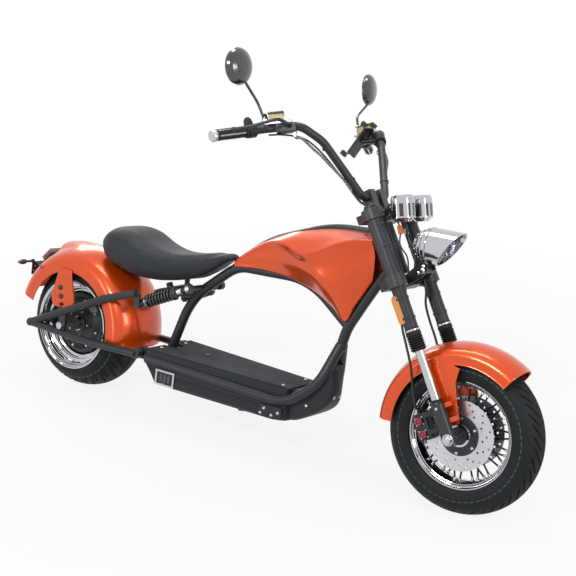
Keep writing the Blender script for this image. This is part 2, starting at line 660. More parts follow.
# Front hub: nipples, carriers, cap rings
p = Piece("spoke_nipples", "front_wheel", FORK, "chrome")
nip = lathe([(3.2, -9), (4.6, -8), (4.6, -1), (3.4, 0.5), (3.2, 0.5)], 10)
q_mid = lathe([(3.1, -5), (4.4, -4), (4.4, 4), (3.1, 5)], 10)
for sgn in (-1, 1):
    for k in range(9):
        for t in (-1, 1):
            m = ACROSS @ rot("Z", (k + (0 if sgn > 0 else 0.5)) * 40 + t * 9)
            a = Vector((20, t * 20, sgn * 32))
            b = Vector((148 * cosd(t * 6), -148 * sind(t * 6), sgn * 10))
            end = a + (b - a) * ((145.5 - 27) / (148.6 - 27))
            p.add(nip, STEEL, m @ aim(end, b - a))
p.done(sharp=40)
p = Piece("disc_carriers", "front_wheel", FORK, "black_metal")
for sgn in (-1, 1):
    star = []
    for k in range(60):
        a = k * 6
        rr = 55.5 + 6.5 * math.cos(math.radians(a * 6))
        star.append((rr * cosd(a), rr * sind(a)))
    y0, y1 = (46.7, 49.2) if sgn > 0 else (-49.2, -46.7)
    p.add(prism(star, y0, y1), SATIN)
    for k in range(6):
        m = rot("Y", k * 60) @ move(54, sgn * 49.2, 0) @ rot("X", -90 if sgn > 0 else 90)
        p.add(capscrew(4.6, 3.4), STEEL, m)
    p.add(lathe([(28, sgn * 49.3), (36, sgn * 49.3), (34, sgn * 53), (28, sgn * 53)], 64, "Y"), CHROME)
p.done(sharp=30)
p = Piece("front_axle_caps", "fork", FORK, "chrome")
for sgn in (-1, 1):
    p.add(lathe([(0, sgn * 142.2), (9, sgn * 142.2), (7, sgn * 145), (0, sgn * 146)], 32, "Y",
                loop=False), CHROME)
    p.add(lathe([(13.2, sgn * 130.8), (17.5, sgn * 130.8), (17.5, sgn * 132.2), (13.2, sgn * 132.2)], 40,
                "Y"), STEEL)
p.done(sharp=30)


# Fenders: one crowned shell each, with rolled edges
def fender(p, mat, r, half, r_in, a0, a1, m, n=96, lift=None, thick=3.6, corner=20.0):
    big = 1.6 * half
    ys = []
    for t in np.linspace(-90, 90, 45):
        ys.append(half * math.sin(math.radians(t)))

    def out(y, inset):
        h_, rr = half - inset, r - inset
        base = rr - big + math.sqrt(max((big) ** 2 - y * y, 0))
        e = h_ - abs(y)
        if e < corner:
            base -= corner - math.sqrt(max(corner ** 2 - (corner - e) ** 2, 0))
        return base
    prof = [(r_in, -half), (r_in + 12, -half), (r_in + 26, -half)] + [(out(y, 0), y) for y in ys[1:-1]] \
        + [(r_in + 26, half), (r_in + 12, half), (r_in, half)]
    h2 = half - thick
    inner = [(r_in, h2), (r_in + 14, h2)] + [(out(y * h2 / half, thick), y * h2 / half)
                                             for y in ys[1:-1][::-1]] \
        + [(r_in + 14, -h2), (r_in, -h2)]
    rows = []
    for k in range(n + 1):
        a = a0 + (a1 - a0) * k / n
        c, s_ = cosd(a), sind(a)
        ring = []
        for j, (rho, y) in enumerate(prof + inner):
            if lift:
                rho = rho + lift(a, y)
            ring.append((rho * c, y, rho * s_))
        rows.append(ring)
    v, f = grid(rows, False, True)
    mm = len(rows[0])
    ends = []
    w = len(prof)
    for base in (0, n * mm):
        for j in range(min(w, len(inner)) - 1):
            j2 = mm - 1 - j
            if j2 - 1 > j + 1:
                ends.append((base + j, base + j + 1, base + j2 - 1, base + j2))
    p.add((v, f + ends), mat, m)
    for sgn in (-1, 1):
        edge = [(m @ Vector(((r_in + 0.6) * cosd(a), sgn * (half - 2), (r_in + 0.6) * sind(a))))
                for a in np.linspace(a0, a1, 70)]
        p.add(tube(edge, 2.6, 8), mat)
    for a in (a0, a1):
        lip = []
        for rho, y in prof:
            rho2 = rho - 1.8 + (lift(a, y) if lift else 0)
            lip.append(m @ Vector((rho2 * cosd(a), y * (half - 2) / half, rho2 * sind(a))))
        p.add(tube(lip, 2.6, 8), mat)


def tail_lift(a, y):
    """Kick-up and spine at the rear fender's top"""
    if a < 80 or a > 122.5:
        return 0.0
    rise = 24 * max(0.0, (a - 84) / 36) ** 1.6 if a <= 120 else 24 * (1 - (a - 120) / 2.5)
    e = min(1.0, abs(y) / 62)
    sp = 2.2 * math.exp(-(y / 5.0) ** 2) * min(1, max(0, (a - 80) / 8)) if a <= 120 else 0
    return rise * (1 - e * e) ** 1.4 + sp


p = Piece("rear_fender_shell", "chassis", REAR, "orange_paint", ("rear_fender",))
fender(p, PAINT, 290, 124, 196, -6, 164, UPRIGHT, 170, tail_lift)
plate = [(-84, 94), (-62, 176), (-56, 204), (4, 204), (10, 176), (32, 94), (26, 62), (-72, 58)]
p.pair(prism(plate, 124.2, 132.4), PAINT)
p.done(sharp=40, bevel=1.4, segs=2, angle=55)
p = Piece("rear_fender_bolts", "chassis", REAR, "black_metal")
for x, z in ((-40, 132), (-34, 100)):
    p.pair(hexhead(8.6, 6.5), SATIN, outward(x, 132.4, z))
p.pair(rod(7, 0, 7, 20, 2), PLAST, outward(-28, 132.4, 72))
p.done(sharp=30)

p = Piece("front_fender_shell", "fork", FORK, "orange_paint", ("front_fender",))
fender(p, PAINT, 279, 78, 216, 56, 182, rot("Y", 31), 130, None, corner=15.0)
stay = [(-30, 150), (-28, 100), (-24, 58), (-14, 42), (8, 34), (24, 33), (31, 42), (44, 103), (58, 150),
        (88, 186),
        (60, 215), (-30, 225)]
p.pair(prism(stay, 76.8, 81.2), PAINT)
for z in (46, 92):
    p.pair(block((10, 79, z), (34, 111, z + 14)), PAINT)
p.done(sharp=40, bevel=1.2, segs=2, angle=55)
p = Piece("front_fender_bolts", "fork", FORK, "steel")
for x, z in ((20, 98), (15, 54)):
    p.pair(hexhead(5.6, 4.6), STEEL, outward(x, 81.2, z))
    p.pair(lathe([(5.5, 0), (8.4, 0), (8.4, 1.2), (5.5, 1.2)], 24), SATIN, outward(x, 81.2, z))
p.pair(tube([(-12, 82.6, 214), (-12, 86, 226), (-8, 88, 238)], 3.0, 8), WIRE)
p.pair(block((-16, 79.5, 202), (-4, 86, 214)), SATIN)
p.done(sharp=30, bevel=0.8)

# Front calipers, with their lugs, pistons, hose fittings
p = Piece("front_caliper_bodies", "fork", FORK, "black_metal", ("front_calipers",))
p.pair(prism([(-121, 24), (-118, 17), (-70, 15), (-66, 22), (-65, 60), (-66, 97), (-74, 99), (-108, 98),
              (-121, 84)], 51.5, 71), SATIN)
p.pair(prism([(-116, 26), (-72, 22), (-71, 92), (-104, 92), (-116, 80)], 71, 77.4), SATIN)
p.pair(prism([(-97, 18), (-67, 16), (-66, 87), (-97, 88)], 34.5, 40.4), SATIN)
p.pair(prism([(-97, 66), (-90, 72), (-76, 84), (-67, 89), (-97, 89)], 40, 52), SATIN)
for z in (30, 82):
    p.pair(block((-68, 71, z), (-33, 104, z + 14)), SATIN)
    p.pair(hexhead(5.4, 5), STEEL, outward(-58, 78, z + 7))
for z in (36, 76):
    p.pair(lathe([(0, 77), (13, 77), (13, 84), (11, 85), (0, 85)], 32, "Y", loop=False), SATIN,
           move(-96, 0, z))
p.done(sharp=30, bevel=1.6, angle=40)
p = Piece("front_caliper_trim", "fork", FORK, "black_metal")
for z in (36, 76):
    p.pair(lathe([(7.6, 85), (11.6, 85), (11.2, 86.4), (8, 86.4)], 32, "Y"), RING, move(-96, 0, z))
    p.pair(lathe([(0, 85), (4.5, 85), (4, 86.6), (0, 86.6)], 24, "Y", loop=False), RING, move(-96, 0, z))
    for k in range(4):
        a = 45 + k * 90
        p.pair(capscrew(2.4, 1.6), STEEL, move(-96 + 16.4 * cosd(a), 77.4, z + 16.4 * sind(a) * 0.9)
               @ rot("X", -90))
p.pair(hexhead(5.6, 7), STEEL, move(-104, 66, 99) @ rot("X", -6))
p.pair(lathe([(4.5, 0), (8, 0), (8, 3), (4.5, 3)], 20, "Z"), STEEL, move(-104, 66, 99))
p.pair(rod(4, 0, 10, 14, 1), STEEL, move(-121, 60, 52) @ rot("Y", -90))
p.done(sharp=30)


# Fork: ribbed boots, caps, clamp bolts, rings
LEG = move(-2, 112.5, 0)
p = Piece("fork_boots_ribbed", "fork", FORK, "boot_rubber", ("fork_boots",))
prof = [(14.2, 274), (19, 274), (20.5, 276)]
z = 277.0
for k in range(6):
    prof += [(20.6, z), (24.0, z + 2.2), (24.6, z + 4.2), (21.2, z + 6.6)]
    z += 7.0
prof += [(21.8, 320), (23.4, 322), (23.4, 331), (22, 333), (22, 343), (21.3, 345), (21.2, 345),
         (21.2, 330), (14.2, 326)]
p.pair(lathe(prof, 48), BOOT, LEG)
p.pair(lathe([(22.2, 335), (23, 335), (23, 340), (22.2, 340)], 40), STEEL, LEG)
p.done(sharp=32)
p = Piece("fork_caps", "fork", FORK, "black_metal")
p.pair(lathe([(20.2, 729), (20.2, 733), (17, 737), (11, 740), (10, 743), (0, 744.5)], 40, loop=False),
       SATIN, LEG)
p.pair(lathe([(0, 743), (6, 743), (6, 747), (5, 748), (0, 748)], 6, loop=False), SATIN, LEG)
for z in (498, 600, 668):
    p.pair(lathe([(25.1, z), (26.6, z + 1), (26.6, z + 7), (25.1, z + 8)], 48), SATIN, LEG)
for z in (493, 706):
    for y in (54, 84):
        p.pair(capscrew(5.5, 5), STEEL, move(-9.2, y, z) @ rot("Y", 90))
p.add(lathe([(0, 726), (17, 726), (17, 733), (13, 736), (0, 737)], 6, loop=False), STEEL, move(-35, 0, 0))
p.pair(capscrew(4, 3), STEEL, outward(-2, 131.6, 96))
p.pair(lathe([(19.1, 62), (20.1, 63), (20.1, 67), (19.1, 68)], 40), SATIN, LEG)
p.pair(lathe([(14.1, 108), (17.4, 108), (17.4, 119), (15.4, 122), (14.1, 122)], 40), BOOT, LEG)
p.done(sharp=32)

# Reflectors: long rounded amber lenses in black frames
def stadium(hw, hl, n=10):
    pts = [(hw * cosd(a), hl - hw + hw * sind(a)) for a in np.linspace(0, 180, n)]
    pts += [(-x, -z_) for x, z_ in pts]
    return pts


p = Piece("fork_reflector_lenses", "fork", FORK, "lens_amber", ("fork_reflectors",))
p.pair(prism(stadium(13, 46), 125, 129.4), PLAST, move(-15.5, 0, 406))
p.pair(prism(stadium(11, 44), 129, 133.4), AMBER, move(-15.5, 0, 406))
for z in (372, 434):
    p.pair(lathe([(21.1, z), (22.8, z), (22.8, z + 8), (21.1, z + 8)], 40), SATIN, LEG)
    p.pair(block((-22, 118, z), (-10, 126, z + 8)), SATIN)
p.done(sharp=32, bevel=1.3, segs=3, angle=50)

# Bars: grips, switches, masters, reservoirs
bar = [Vector(q) for q in ((-34, 0, 774), (-34, 74, 774), (-42, 190, 958), (-66, 250, 1016),
                           (-142, 290, 1037), (-222, 470, 1038))]
gd = (bar[5] - bar[4]).normalized()
gx = (Vector((1, 0, 0)) - gd * gd[0]).normalized()


def on_grip(back_by):
    return axes(bar[5] - gd * back_by, gx, gd.cross(gx), gd)


p = Piece("grips_ribbed", "fork", FORK, "grip_rubber", ("grips",))
prof = [(12.8, 0), (19, 0), (20, 1.5), (20, 4.5), (18.6, 6.5), (16.4, 7.5)]
for k in range(12):
    z = 10 + k * 8.2
    prof += [(16.3, z), (16.9, z + 1.2), (16.9, z + 5.6), (16.3, z + 6.8)]
prof += [(16.3, 110), (12.8, 110)]
p.pair(lathe(prof, 48), GRIP, on_grip(112))
p.pair(lathe([(12.8, 110.2), (17.2, 110.2), (18, 111.5), (18, 122), (16.4, 125), (9, 126), (0, 126)], 40,
             loop=False), CHROME, on_grip(112))
for k in range(6):
    a = k * 60 + 30
    m = on_grip(112) @ rot("Z", a)
    p.pair(block((16.4, -2.4, 14), (17.6, 2.4, 104)), CHROME_D, m)
p.done(sharp=32, bevel=0.4, angle=50)

p = Piece("switch_pod_housings", "fork", FORK, "black_plastic", ("switch_pods",))
m = on_grip(139)
p.pair(lathe([(12.9, 0), (19, 0), (21, 2), (21, 24), (19, 26), (12.9, 26)], 40), PLAST, m)
p.pair(block((-14, -13, 1), (13, 12, 25)), PLAST, m)
body = []
for t, (xa, xb, za, zb) in ((-10, (-12, 8, 4, 22)), (-24, (-13, 9, 3.4, 22.6)),
                            (-36, (-11.4, 7.4, 4.6, 21.4)), (-43, (-7.5, 3.8, 8.5, 18))):
    body.append([Vector((xa, t, za)), Vector((xb, t, za)), Vector((xb, t, zb)), Vector((xa, t, zb))])
v, f = grid(body, False, True)
p.pair((v, f + [(0, 1, 2, 3), (12, 13, 14, 15)]), PLAST, m)
p.add(rod(4.2, 0, 4, 20, 0.8), RING, m @ move(-14, -2, 13) @ rot("Y", -90))
p.pair(rod(4.6, 0, 2.6, 20, 0.8), CHROME_D, m @ move(-13, -30, 13) @ rot("Y", -90))
p.done(sharp=32, bevel=2.0, segs=3, angle=45)

mp = bar[3] * 0.5 + bar[4] * 0.5
md = (bar[4] - bar[3]).normalized()
m_side = Vector((0, 0, 1)).cross(md).normalized()
mz = md.cross(m_side)
MASTER = axes(mp, md, m_side, mz)
p = Piece("brake_master_bodies", "fork", FORK, "black_metal", ("brake_masters",))
p.pair(block((-33, -17.5, -17.5), (27, 17.5, 8)), SATIN, MASTER)
p.pair(block((-23, -19.5, 7.5), (67, 19.5, 15.6)), CHROME_D, MASTER)
p.pair(rod(9, 0, 6, 24, 1), SATIN, MASTER @ move(-34, 0, -4) @ rot("Y", -90))
p.done(sharp=32, bevel=2.4, segs=3, angle=45)
p = Piece("brake_levers", "fork", FORK, "black_metal")
lv = smooth([mp + Vector((20, 9, 0)), mp + Vector((26, 34, -1)), (-88, 318, 1040), (-96, 352, 1038),
             (-130, 412, 1031), (-158, 466, 1030)], 6)
rr = np.interp(np.linspace(0, 1, len(lv)), [0, 0.3, 0.7, 1], [6.2, 5.4, 4.6, 4.4])
p.pair(tube(lv, rr, 14, flat=1.25), SATIN)
p.pair(lathe([(7.6 * cosd(a), 7.6 * sind(a)) for a in np.linspace(-90, 90, 13)], 20, loop=False), SATIN,
       move(-158, 466, 1030))
p.pair(hexhead(5, 4), STEEL, MASTER @ move(34, 4, 15.6))
p.done(sharp=32)
p = Piece("reservoir_tanks", "fork", FORK, "reservoir_plastic", ("reservoirs",))
p.pair(block((2.5, -19.5, 16.3), (45.5, 19.5, 38.2)), TANKP, MASTER)
p.pair(block((-0.5, -22.5, 38.3), (48.5, 22.5, 45.2)), SHELL, MASTER)
p.done(sharp=32, bevel=3.2, segs=3, angle=45)
p = Piece("reservoir_screws", "fork", FORK, "steel")
for x in (5, 43):
    for y in (-17, 17):
        p.pair(capscrew(2.6, 1.8), STEEL, MASTER @ move(x, y, 45.2))
for x in (-18, 58):
    p.pair(capscrew(3.6, 3.2), STEEL, MASTER @ move(x, 12, 15.6))
    p.pair(capscrew(3.6, 3.2), STEEL, MASTER @ move(x, -12, 15.6))
p.done(sharp=32)

# Brake hoses: smooth, the upper length braided
hose = [mp - md * 28 - mz * 19.4, mp - md * 29 - mz * 36] + [Vector(q) for q in (
    (-72, 254, 976), (-60, 238, 944), (-50, 214, 912), (-48, 184, 882), (-47, 144, 848), (-46, 116, 816),
    (-46, 97, 786),
    (-38, 80, 756), (-10, 68, 738), (6, 66, 706), (8, 66, 640), (8, 66, 560), (6, 68, 500), (-4, 72, 452),
    (-26, 84, 412),
    (-38, 98, 358), (-42, 104, 300), (-52, 102, 235), (-80, 88, 160), (-100, 68, 102))]
hp = smooth(hose, 8)
p = Piece("brake_hose_lines", "fork", FORK, "boot_rubber", ("brake_hoses",))
p.pair(tube(hp, 3.8, 14), WIRE)
for ph in (0, 180):
    strand, acc = [], 0.0
    u = Vector((1, 0, 0))
    for i in range(2, 60):
        a, b = hp[i], hp[i + 1]
        t = (b - a).normalized()
        u = (u - t * u.dot(t)).normalized()
        w = t.cross(u)
        for k in range(6):
            q = a + (b - a) * (k / 6)
            acc += (b - a).length / 6
            an = math.radians(ph + acc * 30)
            strand.append(q + (u * math.cos(an) + w * math.sin(an)) * 3.9)
    p.pair(tube(strand, 0.75, 5), CLOTHW)
for end, near, ferrule in ((hp[0], hp[1], 13), (hp[-1], hp[-2], 14)):
    p.pair(tube([end, end + (near - end).normalized() * ferrule], 5.4, 6), STEEL)
p.done(sharp=40)

# Wires held between the legs and at the bar
p = Piece("fork_wires", "fork", FORK, "boot_rubber")
for pts, r in (([(-14, 24, 716), (14, 20, 700), (22, 16, 660), (16, 26, 600), (20, 18, 552),
                 (10, 14, 520), (-6, 10, 486)], 3.0),
               ([(-14, -20, 716), (18, -26, 696), (26, -20, 650), (12, -30, 604), (18, -24, 560),
                 (6, -18, 524), (-8, -12, 486)], 2.6),
               ([(-10, 2, 716), (30, 4, 688), (38, -2, 654), (30, 2, 612), (40, 0, 582)], 3.4),
               ([(10, -34, 716), (28, -52, 690), (40, -58, 672)], 2.4),
               ([(10, 34, 716), (28, 52, 690), (40, 58, 672)], 2.4)):
    p.add(tube(smooth(pts, 7), r, 8), WIRE)
p.add(block((-7, -6, -13), (7, 6, 13)), PLUG, aim((24, -20, 646), (0.1, 0.1, 1)))
p.add(block((-6, -5, -10), (6, 5, 10)), CLOTHW, aim((22, 18, 640), (-0.1, 0.1, 1)))
bar_wire = [(-150, 300, 1018), (-120, 268, 1008), (-80, 234, 982), (-62, 206, 946), (-56, 170, 902),
            (-52, 130, 846), (-50, 92, 792), (-30, 60, 756), (-6, 44, 734), (6, 34, 716)]
p.pair(tube(smooth(bar_wire, 6), 2.8, 8), WIRE)
for q, d in (((-44, 178, 940), (-0.1, 0.55, 0.8)), ((-36, 110, 830), (0, 0.55, 0.85))):
    p.pair(lathe([(13.0, -3), (14.6, -3), (14.6, 3), (13.0, 3)], 32), WIRE, aim(q, d))
p.done(sharp=40, bevel=0.8, angle=60)

# Headlight: reflector, bulb ring, thin lens, extra ribs
LAMP = level(88, 0, 571)
p = Piece("headlight_lens_glass", "fork", FORK, "lens_clear", ("headlight_lens",))
outer = [(100 * math.sin(math.radians(a)), -46 + 100 * math.cos(math.radians(a)))
         for a in np.linspace(0, 29.9, 16)]
inn = [(97 * math.sin(math.radians(a)), -46 + 97 * math.cos(math.radians(a)))
       for a in np.linspace(30.4, 0, 16)]
p.add(lathe(outer + [(49.7, 30), (46.5, 30)] + inn, 72, "X", loop=False), LENS, LAMP)
p.done(sharp=40)
p = Piece("headlight_inner", "fork", FORK, "chrome")
p.add(lathe([(46, 31), (44, 24), (34, 17), (22, 14.5), (20, 14), (20, 12), (36, 14), (48, 21), (48, 31)],
            72, "X"), CHROME, LAMP)
p.add(lathe([(19 + 5 * cosd(a), 22 + 3.4 * sind(a)) for a in range(0, 360, 30)], 48, "X"), BULB, LAMP)
p.add(lathe([(0, 30), (6, 29), (11, 25), (13.4, 18), (13.4, 14), (0, 14)], 40, "X", loop=False), LENS, LAMP)
for k in range(12):
    p.add(block((18, 26, -1), (27, 43, 1)), BULB, LAMP @ rot("X", k * 30))
for x, r in ((-18, 45.4), (-6, 50.6), (9.5, 57.6)):
    p.add(lathe([(r - 2, x - 2), (r, x - 1.2), (r + 0.6, x), (r, x + 1.2), (r - 2, x + 2)], 72, "X"),
          CHROME, LAMP)
p.add(lathe([(53.4, 29), (55.6, 30.4), (55.6, 34), (53.4, 35), (50.4, 35), (50.4, 31)], 72, "X"), CHROME,
      LAMP)
for k in range(10):
    p.add(rod(3.2, 0, 7, 16, 0.8), CHROME_D, LAMP @ rot("X", k * 36 + 8) @ move(-31, 0, 33))
p.done(sharp=32)
p = Piece("headlight_bolts", "fork", FORK, "steel")
for x, z in ((36, 500), (60, 512)):
    p.pair(hexhead(6, 5), CHROME, outward(x, 31, z))
p.pair(hexhead(8.4, 6), CHROME, outward(56, 40, 500))
p.done(sharp=32)

# Gauges: dark windows round the barrels, rims and dials
GAUGE = level(76, 62, 697) @ rot("Y", -14)
p = Piece("gauge_trim", "fork", FORK, "chrome")
for k in range(10):
    a = k * 36
    win = lathe([(36.05, -26), (36.7, -25.4), (36.7, 12.4), (36.05, 13)], 4, "Z", a - 10, a + 10)
    p.pair(win, DIAL, GAUGE)
for z in (-30, 17, 27):
    p.pair(lathe([(35.8, z - 1.6), (37, z - 0.9), (37, z + 0.9), (35.8, z + 1.6)], 60), CHROME, GAUGE)
p.pair(lathe([(28.95, 35.4), (31.6, 35.6), (32, 37.4), (30.4, 38.6), (28.95, 37.6)], 60), CHROME, GAUGE)
for k in range(25):
    a = -30 + k * 10
    ln = 5 if k % 4 == 0 else 3
    p.pair(block((26.5 - ln, -0.35, 35.35), (26.5, 0.35, 35.6)), MARK, GAUGE @ rot("Z", a + 180))
p.pair(block((-4, -0.5, 35.8), (20, 0.5, 36.4)), RING, GAUGE @ rot("Z", 150))
p.pair(lathe([(0, 35.3), (3, 35.3), (2.6, 37), (0, 37)], 20, loop=False), PLAST, GAUGE)
p.done(sharp=32)

# Phone holder
hb = bar[2] * 0.5 + bar[3] * 0.5
hd = (bar[3] - bar[2]).normalized()
hq = Vector((-114, 205, 1010))
HOLD = level(*hq) @ rot("Y", 30)
p = Piece("phone_cradle", "fork", FORK, "black_plastic", ("phone_holder",))
plate = [(-54, -26), (-48, -32.5), (48, -32.5), (54, -26), (54, 26), (48, 32.5), (-48, 32.5), (-54, 26)]
pl = prism(plate, -3.4, 3.4)
p.add(([(b, c, a) for a, b, c in pl[0]], pl[1]), PLAST, HOLD)
p.add(block((-5.6, -16, -26), (-3, 16, 26)), SHELL, HOLD)
for y in (-20, 0, 20):
    p.add(block((-4.6, y - 2, -48), (-3, y + 2, -30)), PLAST, HOLD)
p.add(tube([hq + Vector((2, 0, -3)), hq * 0.5 + hb * 0.5, hb], [8.6, 8, 8.8], 20), PLAST)
p.add(lathe([(12.9, -14), (18.5, -14), (20, -12.4), (20, 12.4), (18.5, 14), (12.9, 14)], 36), PLAST,
      aim(hb, hd))
for y in (-1, 1):
    for z in (-1, 1):
        p.add(block((-19.5, y * 32 - 6.4, z * 60 - 7.5), (1.6, y * 32 + 6.4, z * 60 + 7.5)), PLAST, HOLD)
        p.add(block((-20, y * 32 - 4, z * 60 - 5), (-17.5, y * 32 + 4, z * 60 + 5)), CHROME, HOLD)
        p.add(tube([(-1, y * 22, z * 44), (-1, y * 31, z * 58)], 3.6, 10), CHROME, HOLD)
p.done(sharp=32, bevel=1.6, segs=2, angle=50)

# Mirrors: a black rim round each glass, a stem nut and boot
p = Piece("mirror_trim", "fork", FORK, "mirror_shell")
MIRROR_FACE = Matrix.Translation((-119, 400, 1216)) @ (rot("Z", 8) @ rot("Y", rake - 8)) @ rot("Y", 90)
p.pair(lathe([(50.2, -0.2), (53.6, -0.2), (54.3, 1.2), (54.3, 7), (53.9, 7), (53.9, 1.4), (50.2, 1.0)],
             72), SHELL, MIRROR_FACE)
sp = mp + md * 58.6 + mz * 16.3
p.pair(lathe([(9.1, 4), (10.2, 4), (10.2, 12), (9.1, 12)], 6), STEEL, axes(sp, md, m_side, mz))
p.pair(lathe([(4.6, 18), (7.4, 18), (6.4, 27), (4.6, 29)], 24), BOOT, axes(sp, md, m_side, mz))
p.done(sharp=32)

# Tail light, ribbed, and leaf-shaped signals
TAIL = ACROSS @ rot("Z", 135.5) @ move(290.3, 0, 0)
p = Piece("tail_light_cluster", "chassis", REAR, "lens_red", ("tail_light",))
p.add(block((0.2, -29, -43), (10, 29, 43)), PLAST, TAIL)
p.add(block((9, -27, -41), (23, 27, 41)), RED, TAIL)
for k in range(7):
    y = -24 + k * 8
    p.add(block((22, y - 2.2, -40), (27.5, y + 2.2, 40)), RED, TAIL)
p.done(sharp=32, bevel=1.8, segs=3, angle=45)
p = Piece("rear_signal_lamps", "chassis", PARK, "lens_amber", ("rear_signals",))
S0 = move(-233, 0, 429)
p.pair(lathe([(4.4, 93), (4.4, 128), (6, 132)], 20, "Y", loop=False), PLAST, S0)
leaf = [(0, 171.5), (3.2, 169), (6.6, 163), (9.4, 155), (10.8, 146), (10, 138), (7.4, 131), (4.6, 126)]
v, f = lathe(leaf, 28, "Y", loop=False)
v = [(x * 0.78, y, z) for x, y, z in v]
p.pair((v, f), SHELL, S0)
v = [(min(x * 0.86 - 1.4, -2.0) if x < 0 else x * 0.3 - 2, y * 0.9 + 14.6, z * 0.8) for x, y,
     z in lathe(leaf, 28, "Y", loop=False)[0]]
p.pair((v, f), AMBER, S0)
p.pair(lathe([(4.5, 93.2), (8, 93.2), (7, 99), (4.5, 101)], 20, "Y"), BOOT, S0)
p.done(sharp=35)
p = Piece("plate_screws", "chassis", PARK, "steel")
p.pair(hexhead(3.6, 3), STEEL, move(-293, 26, 394) @ rot("Y", 90))
p.done(sharp=32)


# Tank halves: the source's stations, with finer curves between them
def smooth_rows(rows, k):
    """The same curve through rows of numbers"""
    out, n = [], len(rows)
    t = [np.array(r, float) for r in rows]
    for i in range(n - 1):
        a, b, c, d = t[max(i - 1, 0)], t[i], t[i + 1], t[min(i + 2, n - 1)]
        for j in range(k):
            u = j / k
            out.append(0.5 * (2 * b + (c - a) * u + (2 * a - 5 * b + 4 * c - d) * u * u
                              + (3 * b - a - 3 * c + d) * u ** 3))
    out.append(t[-1])
    return out


tank_rows = [
    (650, 600, 650, 593, 22, 650, 587, 20, 650, 580), (730, 664, 730, 650, 36, 736, 620, 31, 738, 590),
    (800, 704, 800, 688, 50, 812, 640, 40, 822, 592), (862, 731, 874, 700, 70, 890, 640, 53, 910, 583),
    (930, 752, 956, 686, 93, 972, 628, 68, 992, 560), (1000, 769, 1018, 704, 96, 1036, 612, 76, 1060, 524),
    (1066, 779, 1084, 738, 92, 1096, 616, 72, 1110, 494),
    (1126, 783, 1146, 760, 86, 1150, 670, 62, 1146, 562),
    (1172, 784, 1200, 771, 74, 1206, 712, 52, 1192, 640)]
y0 = 17.3
rings = []
for s in smooth_rows(tank_rows, 9):
    feature = [(s[0], y0, s[1]), (0.55 * s[0] + 0.45 * s[2], 0.5 * (s[4] + y0) + 3, 0.4 * s[3]
                                  + 0.6 * s[1]),
               (s[2], s[4] - 3, s[3] + 5), (s[2], s[4], s[3] - 2), (s[2], s[4] - 3, s[3] - 9),
               (0.5 * (s[2] + s[5]), 0.3 * s[4] + 0.7 * s[7], 0.5 * (s[3] + s[6])), (s[5], s[7], s[6]),
               (0.5 * (s[5] + s[8]), 0.6 * s[7] + 0.4 * y0, 0.5 * (s[6] + s[9])), (s[8], y0 + 5, s[9]),
               (s[8], y0, s[9])]
    rings.append(smooth(feature, 5))
p = Piece("tank_panels", "chassis", PARK, "orange_paint", ("tank_body",))
p.pair(loft(rings), PAINT)
p.done(sharp=48)

# Deck: two tiers with rounded mouldings, swept up at the ends
def deck_half(x):
    """The deck's half width"""
    if x <= 960:
        return 131 + (95 - 131) * (x - 392) / 568
    return 95 - (x - 960) / 12 * 5 if x < 972 else 90 - (x - 972) * 3


def bottom(x):
    """The deck's underside"""
    return np.interp(x, [390, 446, 926, 980], [206, 126, 126, 133])


p = Piece("deck_mouldings", "chassis", PARK, "deck_plastic", ("deck_case",))
xs = [392, 410, 428, 446, 520, 600, 700, 800, 900, 926, 950, 960, 966, 972, 978]
low = []
for x in xs:
    w, zb = deck_half(x), bottom(x)
    tuck = min(10, (204 - zb) * 0.2)
    low.append([(x, -w + tuck, zb), (x, -w, zb + tuck), (x, -w, 158), (x, -w + 2.4, 161),
                (x, -w + 2.4, 166), (x, -w, 169), (x, -w, 204)]
               if zb < 150 else [(x, -w + tuck, zb), (x, -w, zb + tuck), (x, -w, zb + tuck + 1),
                                 (x, -w, zb + tuck + 2),
                                 (x, -w, max(zb + tuck + 3, 166)), (x, -w, max(zb + tuck + 4, 169)),
                                 (x, -w, max(204, zb + tuck + 5))])
full = [r + [(x, -y, z) for x, y, z in r[::-1]] for r in low]
p.add(loft(full), DECK)
ox = [392, 520, 640, 760, 880, 960, 968, 974, 978]
outline = [(x, -deck_half(x) + 8) for x in ox]
outline += [(x, -y) for x, y in outline[::-1]]
n1 = len(outline)
v = [(x, y, 203.5) for x, y in outline] + [(x, y * 0.995, 238) for x, y in outline]
p.add((v, [tuple(range(n1)), tuple(range(n1, 2 * n1))]
       + [(i, (i + 1) % n1, n1 + (i + 1) % n1, n1 + i) for i in range(n1)]), DECK)
p.done(sharp=34, bevel=5.0, segs=3, angle=40)
p = Piece("deck_brackets", "chassis", PARK, "deck_plastic")
p.pair(prism([(872, 131), (944, 133), (964, 143), (972, 150), (968, 176), (884, 172)], 97, 105), DECK)
for x, z in ((890, 143), (934, 145), (958, 158), (902, 161)):
    p.pair(hexhead(4.6, 3.6), STEEL, outward(x, 105, z))
p.add(prism([(560, 120), (640, 120), (640, 128), (560, 128)], -60, 60), DECK)
p.done(sharp=34, bevel=2.0, segs=2, angle=40)

